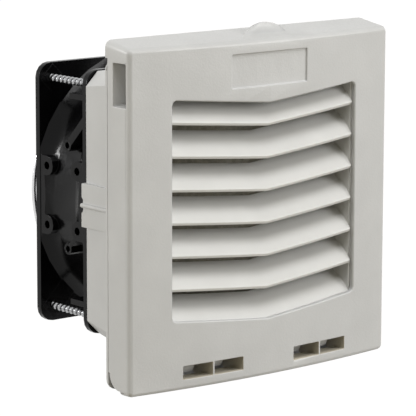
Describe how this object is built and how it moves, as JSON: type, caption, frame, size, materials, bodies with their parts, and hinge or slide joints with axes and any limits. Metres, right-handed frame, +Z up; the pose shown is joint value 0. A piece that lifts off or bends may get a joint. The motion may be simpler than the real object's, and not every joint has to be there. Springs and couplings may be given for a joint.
{
  "type": "cabinet filter fan",
  "caption": "Square plug-in filter fan for a cabinet wall: domed louvred cover that tilts open on hooks, filter mat, housing and axial fan with wire guard.",
  "frame": {"origin": "on the fan axis, in the plane of the flange's rear face, where the housing enters the cabinet wall", "axes": "+X to the right seen from the front, +Y back into the cabinet along the fan axis, +Z up"},
  "size_m": [0.15, 0.1021, 0.1569],
  "materials": {
    "light_grey_plastic": "fine satin",
    "housing_plastic": "satin",
    "black_casting": "black paint",
    "black_plastic": "satin",
    "filter_fibre": "loose fibre",
    "foam_rubber": "matt foam",
    "bright_steel": "bright",
    "zinc_plated_steel": "zinc plated",
    "copper_wire": "enamelled wire",
    "core_laminations": "dull"
  },
  "bodies": {
    "base": {"base_housing": "housing_plastic", "panel_gasket": "foam_rubber", "filter_mat": "filter_fibre", "filter_grid": "housing_plastic", "fan_frame": "black_casting", "motor_spider": "black_casting", "fan_screw_1": "zinc_plated_steel", "fan_screw_2": "zinc_plated_steel", "fan_screw_3": "zinc_plated_steel", "fan_screw_4": "zinc_plated_steel", "finger_guard": "bright_steel", "bearing_front": "bright_steel", "bearing_rear": "bright_steel", "preload_spring": "bright_steel", "stator_core": "core_laminations", "insulator_front": "black_plastic", "insulator_rear": "black_plastic", "coil_1": "copper_wire", "coil_2": "copper_wire", "coil_3": "copper_wire", "coil_4": "copper_wire", "terminal_block": "black_plastic", "terminal_1": "zinc_plated_steel", "terminal_2": "zinc_plated_steel", "earth_screw": "zinc_plated_steel"},
    "cover": {"cover_frame": "light_grey_plastic", "louvre_grille": "light_grey_plastic"},
    "rotor": {"impeller": "black_plastic", "rotor_cup": "bright_steel", "rotor_cage": "core_laminations", "shaft": "bright_steel", "retaining_ring": "bright_steel"}
  },
  "joints": [
    {"name": "cover_tilt", "type": "hinge", "parent": "base", "child": "cover", "pos_m": [0, -0.0095, -0.0676], "axis": [1, 0, 0], "range_deg": [0, 60]},
    {"name": "impeller_spin", "type": "hinge", "parent": "base", "child": "rotor", "pos_m": [0, 0.05, 0], "axis": [0, 1, 0], "continuous": true}
  ]
}
